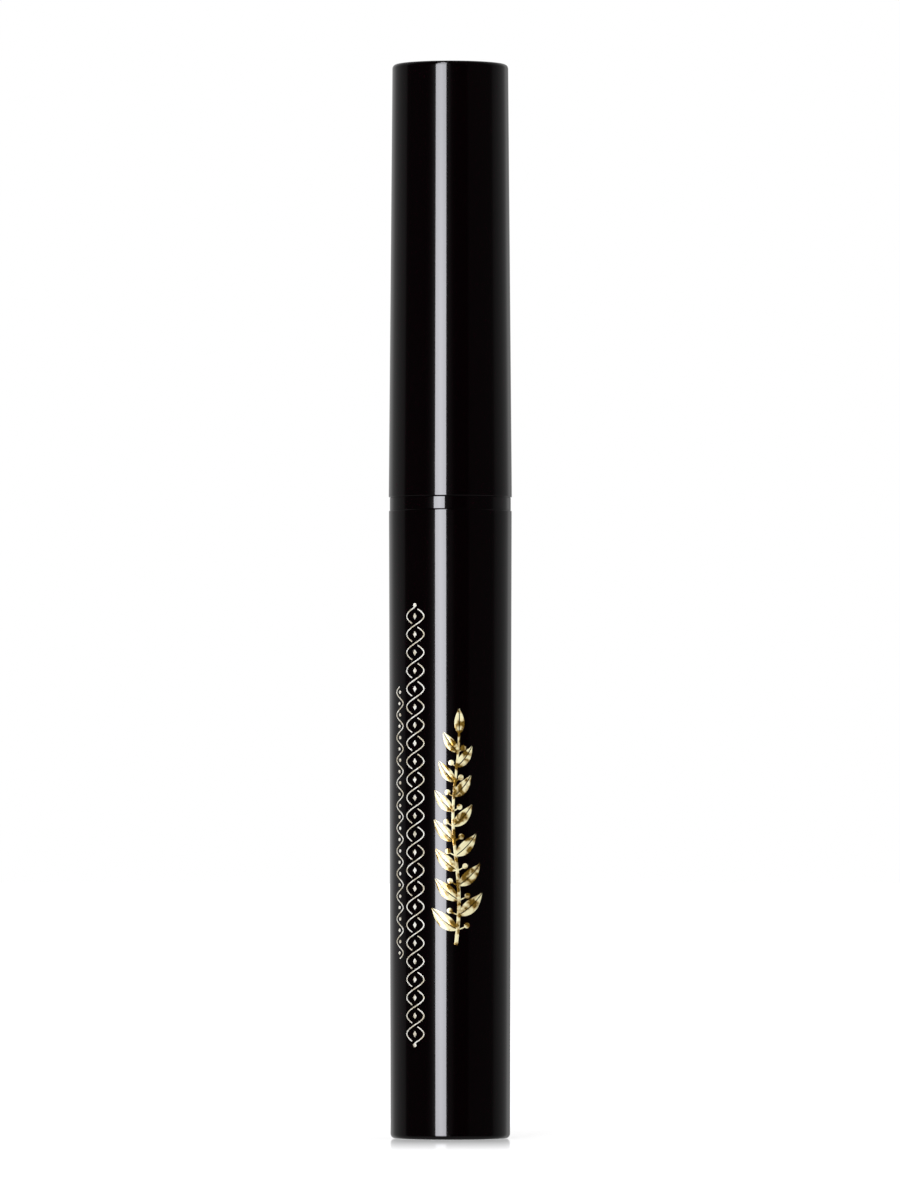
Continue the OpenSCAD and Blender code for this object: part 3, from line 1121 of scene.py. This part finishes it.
@dataclass(frozen=True)
class TripodCamera:
    """A long lens from well back and a little above the table, as the photograph was taken."""

    back_mm: float = 1065.0
    across_mm: float = -0.03
    height_mm: float = 31.8
    tilt_deg: float = 1.364
    lens_mm: float = 300.66
    film_mm: float = 36.0
    clip_m: Point = (0.05, 30.0)

    def place(self) -> None:
        """Makes the camera and takes the pictures through it."""
        made = bpy.data.cameras.new("tripod_camera")
        made.sensor_fit = "VERTICAL"
        made.sensor_height = made.sensor_width = self.film_mm
        made.lens = self.lens_mm
        made.clip_start, made.clip_end = self.clip_m
        camera = bpy.data.objects.new("tripod_camera", made)
        camera.location = Vector((self.across_mm, -self.back_mm, self.height_mm)) * MM
        camera.rotation_euler = (math.radians(90 + self.tilt_deg), 0.0, 0.0)
        bpy.context.scene.collection.objects.link(camera)
        bpy.context.scene.camera = camera


@dataclass(frozen=True)
class Softbox:
    """A rectangular softbox that faces the pen.

    The bearing is the side that it stands on, clockwise from the camera as seen from above,
    and the rise is its height above the horizon. The fades are pairs of a share of the
    box's width or height and how bright it is there.
    """

    name: str
    bearing_deg: float
    rise_deg: float
    distance_mm: float
    size_mm: Point
    centre_mm: float
    radiance: float
    tint: str
    in_gloss: bool = True
    across_fade: tuple[Point, ...] = ((0.0, 1.0), (1.0, 1.0))
    upward_fade: tuple[Point, ...] = ((0.0, 1.0), (1.0, 1.0))

    def place(self) -> None:
        """Makes the lamp."""
        made = bpy.data.lights.new(self.name, "AREA")
        made.shape = "RECTANGLE"
        made.size, made.size_y = (side * MM for side in self.size_mm)
        made.energy = self.radiance * math.pi * made.size * made.size_y
        made.color = linear(self.tint)[:3]
        made.use_nodes = True
        tree = made.node_tree
        tree.nodes.clear()
        spot = add_node(tree, "ShaderNodeNewGeometry").outputs["Parametric"]
        parts = add_node(tree, "ShaderNodeSeparateXYZ", links={0: spot}).outputs
        levels: Links = {}
        for side, fade in enumerate((self.across_fade, self.upward_fade)):
            stops = [(share, grey(bright)) for share, bright in fade]
            ramp = add_node(tree, "ShaderNodeValToRGB", {"stops": stops}, {0: parts[side]})
            levels[side] = ramp.outputs[0]
        level = add_node(tree, "ShaderNodeMath", {"operation": "MULTIPLY"}, levels).outputs[0]
        light = add_node(tree, "ShaderNodeEmission", links={"Strength": level})
        add_node(tree, "ShaderNodeOutputLight", links={0: light.outputs[0]})
        bearing, rise = math.radians(self.bearing_deg), math.radians(self.rise_deg)
        away = Vector(
            (
                -math.sin(bearing) * math.cos(rise),
                -math.cos(bearing) * math.cos(rise),
                math.sin(rise),
            )
        )
        lamp = bpy.data.objects.new(self.name, made)
        lamp.location = (away * self.distance_mm + Vector((0.0, 0.0, self.centre_mm))) * MM
        lamp.rotation_mode = "QUATERNION"
        lamp.rotation_quaternion = (-away).to_track_quat("-Z", "Y")
        lamp.visible_camera = False
        lamp.visible_glossy = self.in_gloss
        bpy.context.scene.collection.objects.link(lamp)
        log.info("%s shines from bearing %.0f", self.name, self.bearing_deg)


def any_ray(tree: bpy.types.NodeTree, *kinds: Ray) -> bpy.types.NodeSocket:
    """Tells the rays of some kinds from all others.

    Args:
        tree: The tree that asks.
        kinds: The kinds, of which a ray needs one.

    Returns:
        1 for such a ray, and 0 for another.
    """
    path = add_node(tree, "ShaderNodeLightPath").outputs
    found = path[kinds[0].value]
    for kind in kinds[1:]:
        links: Links = {0: found, 1: path[kind.value]}
        found = add_node(tree, "ShaderNodeMath", {"operation": "MAXIMUM"}, links).outputs[0]
    return found


@dataclass(frozen=True)
class Fade:
    """A glow that halves again and again over an angle, or doubles if the angle is negative."""

    from_deg: float
    to_deg: float
    level: float
    halves_deg: float
    rest: float = 0.0
    steps: int = 4

    def stops(self) -> list[Point]:
        """Works the glow out.

        Returns:
            Pairs of an angle and how bright the studio is there.
        """
        ends = (self.from_deg, self.to_deg)
        angles = [between(ends, index / self.steps) for index in range(self.steps + 1)]
        halvings = [(angle - self.from_deg) / self.halves_deg for angle in angles]
        return [(angle, self.rest + self.level / 2**n) for angle, n in zip(angles, halvings)]


@dataclass(frozen=True)
class WhiteCove:
    """The studio round the pen: a white backdrop behind it and dark cards before it.

    Each glow gives how bright the studio is for gloss, to the camera's left and to its right,
    by the angle from the camera's side: as fades, and as single pairs of an angle and a
    level. The table's white shows in gloss only well below the pen.
    """

    front_fill: float = 0.3
    back_fill: float = 0.75
    left_glow: tuple[Fade | Point, ...] = (
        # The key softbox's spill, before its near edge and past its far one.
        Fade(0.0, 4.8, 0.0343, -3.2, rest=0.005, steps=2),
        Fade(28.5, 48.5, 0.34, 2.75, rest=0.01, steps=8),
        # The dark card, which ends at 94 degrees.
        (84.0, 0.012),
        (92.0, 0.018),
        (94.0, 0.024),
        (96.0, 0.06),
        # The wall, which brightens towards the corner.
        Fade(100.0, 134.0, 0.079, -28.5),
        (140.0, 0.238),
        (147.0, 0.297),
        # The backdrop, and the white beside the pen's outline.
        (173.5, 0.35),
        (176.5, 1.0),
    )
    right_glow: tuple[Fade | Point, ...] = (
        # The key softbox's spill, on from the left side.
        Fade(0.0, 20.0, 0.0343, 3.2, rest=0.005, steps=8),
        # A darker card by the camera, and then one whose edge is soft.
        (33.0, 0.005),
        (37.0, 0.018),
        (84.0, 0.019),
        (90.0, 0.028),
        (93.0, 0.05),
        # The wall, and its corner, which is brighter than the backdrop.
        Fade(100.0, 134.0, 0.07, -24.5),
        (140.0, 0.262),
        (147.0, 0.34),
        (154.0, 0.23),
        # The backdrop, and the white beside the pen's outline.
        (173.5, 0.26),
        (176.5, 1.0),
    )
    table_glow: float = 0.12
    table_from: float = -0.35
    table_to: float = -0.8

    def seen_in_gloss(
        self, tree: bpy.types.NodeTree, heading: bpy.types.NodeSocket, behind: bpy.types.NodeSocket
    ) -> bpy.types.NodeSocket:
        """Adds what gloss shows: the glows round the pen, and the table's white far below it.

        Args:
            tree: The world's tree.
            heading: The ray's direction.
            behind: How far the ray goes behind the pen, from 0 at the camera's side to 1.

        Returns:
            The colour for gloss.
        """
        parts = add_node(tree, "ShaderNodeSeparateXYZ", links={0: heading}).outputs
        ramps = []
        for glow in (self.left_glow, self.right_glow):
            runs = [part.stops() if isinstance(part, Fade) else [part] for part in glow]
            stops = [
                ((1 - math.cos(math.radians(angle))) / 2, grey(level))
                for run in runs
                for angle, level in run
            ]
            ramp = add_node(tree, "ShaderNodeValToRGB", {"stops": stops}, {0: behind})
            ramps.append(ramp.outputs[0])
        settings: Settings = {"operation": "GREATER_THAN", 1: 0.0}
        on_right = add_node(tree, "ShaderNodeMath", settings, {0: parts[0]}).outputs[0]
        sides: Links = {0: on_right, MIX_FIRST: ramps[0], MIX_SECOND: ramps[1]}
        round_pen = add_node(tree, "ShaderNodeMix", {"data_type": "RGBA"}, sides)
        fall = limits((0.0, 1.0), (self.table_from, self.table_to))
        below = add_node(tree, "ShaderNodeMapRange", fall, {"Value": parts[2]}).outputs[0]
        settings = {"data_type": "RGBA", MIX_SECOND: grey(self.table_glow)}
        levels: Links = {0: below, MIX_FIRST: round_pen.outputs[MIX_RESULT]}
        return add_node(tree, "ShaderNodeMix", settings, levels).outputs[MIX_RESULT]

    def build(self) -> None:
        """Makes the world: white for the eye, a plain fill for what is matt, and the glows."""
        world = bpy.data.worlds.new("white_cove")
        world.use_nodes = True
        bpy.context.scene.world = world
        tree = world.node_tree
        tree.nodes.clear()
        heading = add_node(tree, "ShaderNodeTexCoord").outputs["Generated"]
        depth = add_node(tree, "ShaderNodeSeparateXYZ", links={0: heading}).outputs[1]
        settings = limits((0.0, 1.0), (-1.0, 1.0))
        behind = add_node(tree, "ShaderNodeMapRange", settings, {"Value": depth}).outputs[0]
        settings = limits((self.front_fill, self.back_fill))
        fill = add_node(tree, "ShaderNodeMapRange", settings, {"Value": behind}).outputs[0]
        gloss = self.seen_in_gloss(tree, heading, behind)
        links: Links = {0: any_ray(tree, Ray.GLOSSY), MIX_FIRST: fill, MIX_SECOND: gloss}
        lit = add_node(tree, "ShaderNodeMix", {"data_type": "RGBA"}, links).outputs[MIX_RESULT]
        settings = {"data_type": "RGBA", MIX_SECOND: grey(1.0)}
        links = {0: any_ray(tree, Ray.CAMERA, Ray.TRANSMISSION), MIX_FIRST: lit}
        colour = add_node(tree, "ShaderNodeMix", settings, links).outputs[MIX_RESULT]
        light = add_node(tree, "ShaderNodeBackground", {"Strength": 1.0}, {0: colour})
        add_node(tree, "ShaderNodeOutputWorld", links={0: light.outputs[0]})


@dataclass(frozen=True)
class CastAcrylic(Finish):
    """White cast acrylic with a polished face, which mirrors what stands near the middle.

    The white glows for the eye and for what mirrors it, less by the pen than further off,
    and the mirror fades with the distance from the pen.
    """

    name: str = "acrylic_cast_white"
    tone: str = "#E8E8E8"
    glow: Point = (0.49, 0.78)
    glow_reach_mm: Point = (120.0, 500.0)
    mirror: Point = (0.84, 0.0)
    mirror_reach_mm: Point = (6.0, 52.0)
    mirror_roughness: float = 0.05
    ior: float = 1.45

    def surface(self, tree: bpy.types.NodeTree) -> bpy.types.NodeSocket:
        """Adds the white, its glow and the mirror.

        Args:
            tree: The material's tree, still empty.

        Returns:
            The shader of the surface.
        """
        place = add_node(tree, "ShaderNodeTexCoord").outputs["Object"]
        away = add_node(tree, "ShaderNodeVectorMath", {"operation": "LENGTH"}, {0: place})
        rays = any_ray(tree, Ray.CAMERA, Ray.GLOSSY, Ray.TRANSMISSION)
        gloss = add_node(tree, "ShaderNodeFresnel", {"IOR": self.ior}).outputs[0]
        strengths = []
        for ends, reach_mm, factor in (
            (self.glow, self.glow_reach_mm, rays),
            (self.mirror, self.mirror_reach_mm, gloss),
        ):
            settings = limits(ends, (reach_mm[0] * MM, reach_mm[1] * MM))
            links: Links = {"Value": away.outputs["Value"]}
            links = {0: add_node(tree, "ShaderNodeMapRange", settings, links).outputs[0], 1: factor}
            strength = add_node(tree, "ShaderNodeMath", {"operation": "MULTIPLY"}, links)
            strengths.append(strength.outputs[0])
        white = add_node(tree, "ShaderNodeEmission", links={"Strength": strengths[0]})
        matt = add_node(tree, "ShaderNodeBsdfDiffuse", {"Color": linear(self.tone)})
        links = {0: matt.outputs[0], 1: white.outputs[0]}
        plain = add_node(tree, "ShaderNodeAddShader", links=links)
        settings = {"Color": grey(1.0), "Roughness": self.mirror_roughness}
        mirror = add_node(tree, "ShaderNodeBsdfAnisotropic", settings)
        links = {0: strengths[1], 1: plain.outputs[0], 2: mirror.outputs[0]}
        return add_node(tree, "ShaderNodeMixShader", links=links).outputs[0]


@dataclass(frozen=True)
class AcrylicTable:
    """The white table, which mirrors the pen's foot and fades to plain white."""

    finish: CastAcrylic = CastAcrylic()
    half_mm: float = 6000.0
    under_mm: float = 0.01

    def build(self) -> None:
        """Lays the table under the pen."""
        half = self.half_mm * MM
        corners = [(-half, -half, 0), (half, -half, 0), (half, half, 0), (-half, half, 0)]
        mesh = bpy.data.meshes.new("table")
        mesh.from_pydata(corners, [], [(0, 1, 2, 3)])
        mesh.materials.append(self.finish.build())
        table = bpy.data.objects.new("table", mesh)
        table.location = (0.0, 0.0, -self.under_mm * MM)
        table.visible_glossy = False
        bpy.context.scene.collection.objects.link(table)
        table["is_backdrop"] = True


KEY_BOX = Softbox(
    name="key_softbox",
    bearing_deg=18.1,
    rise_deg=0.0,
    distance_mm=500.0,
    size_mm=(183.0, 1200.0),
    centre_mm=380.0,
    radiance=7.7,
    tint="#F8F8FF",
    across_fade=((0.0, 0.82), (0.5, 1.0), (1.0, 0.84)),
    upward_fade=(
        (0.0, 0.5),
        (0.16, 0.84),
        (0.18, 0.915),
        (0.19, 0.97),
        (0.21, 1.0),
        (0.285, 1.0),
        (0.298, 0.955),
        (0.308, 0.9),
        (0.475, 0.6),
    ),
)
TOP_BOX = Softbox(
    name="top_softbox",
    bearing_deg=0.0,
    rise_deg=80.0,
    distance_mm=900.0,
    size_mm=(700.0, 700.0),
    centre_mm=0.0,
    radiance=1.2,
    tint="#FFFFFF",
    in_gloss=False,
)


def main() -> None:
    """Builds the scene in order: the camera, the studio, and the pen from tail to cap."""
    logging.basicConfig(level=logging.INFO, format="%(message)s")
    TripodCamera().place()
    bpy.context.scene.view_settings.view_transform = "Standard"
    WhiteCove().build()
    for box in (KEY_BOX, TOP_BOX):
        box.place()
    AcrylicTable().build()
    barrel = Barrel()
    barrel.dress()
    barrel.stamp_ornament()
    fibre = BONDED_FIBRE.build()
    supply = InkSupply()
    supply.dress()
    supply.build_wick(fibre)
    writing_end = WritingEnd()
    writing_end.dress()
    writing_end.build_nib(fibre)
    cap = Cap()
    cap.dress()
    cap.wind_spring()
    boxes = {"cad": cad_box, "visual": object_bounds()}
    sides = {name: [list(corner) for corner in corners] for name, corners in boxes.items()}
    log.info("the visual model's box is %s", sides["visual"])


if __name__ == "__main__":
    main()
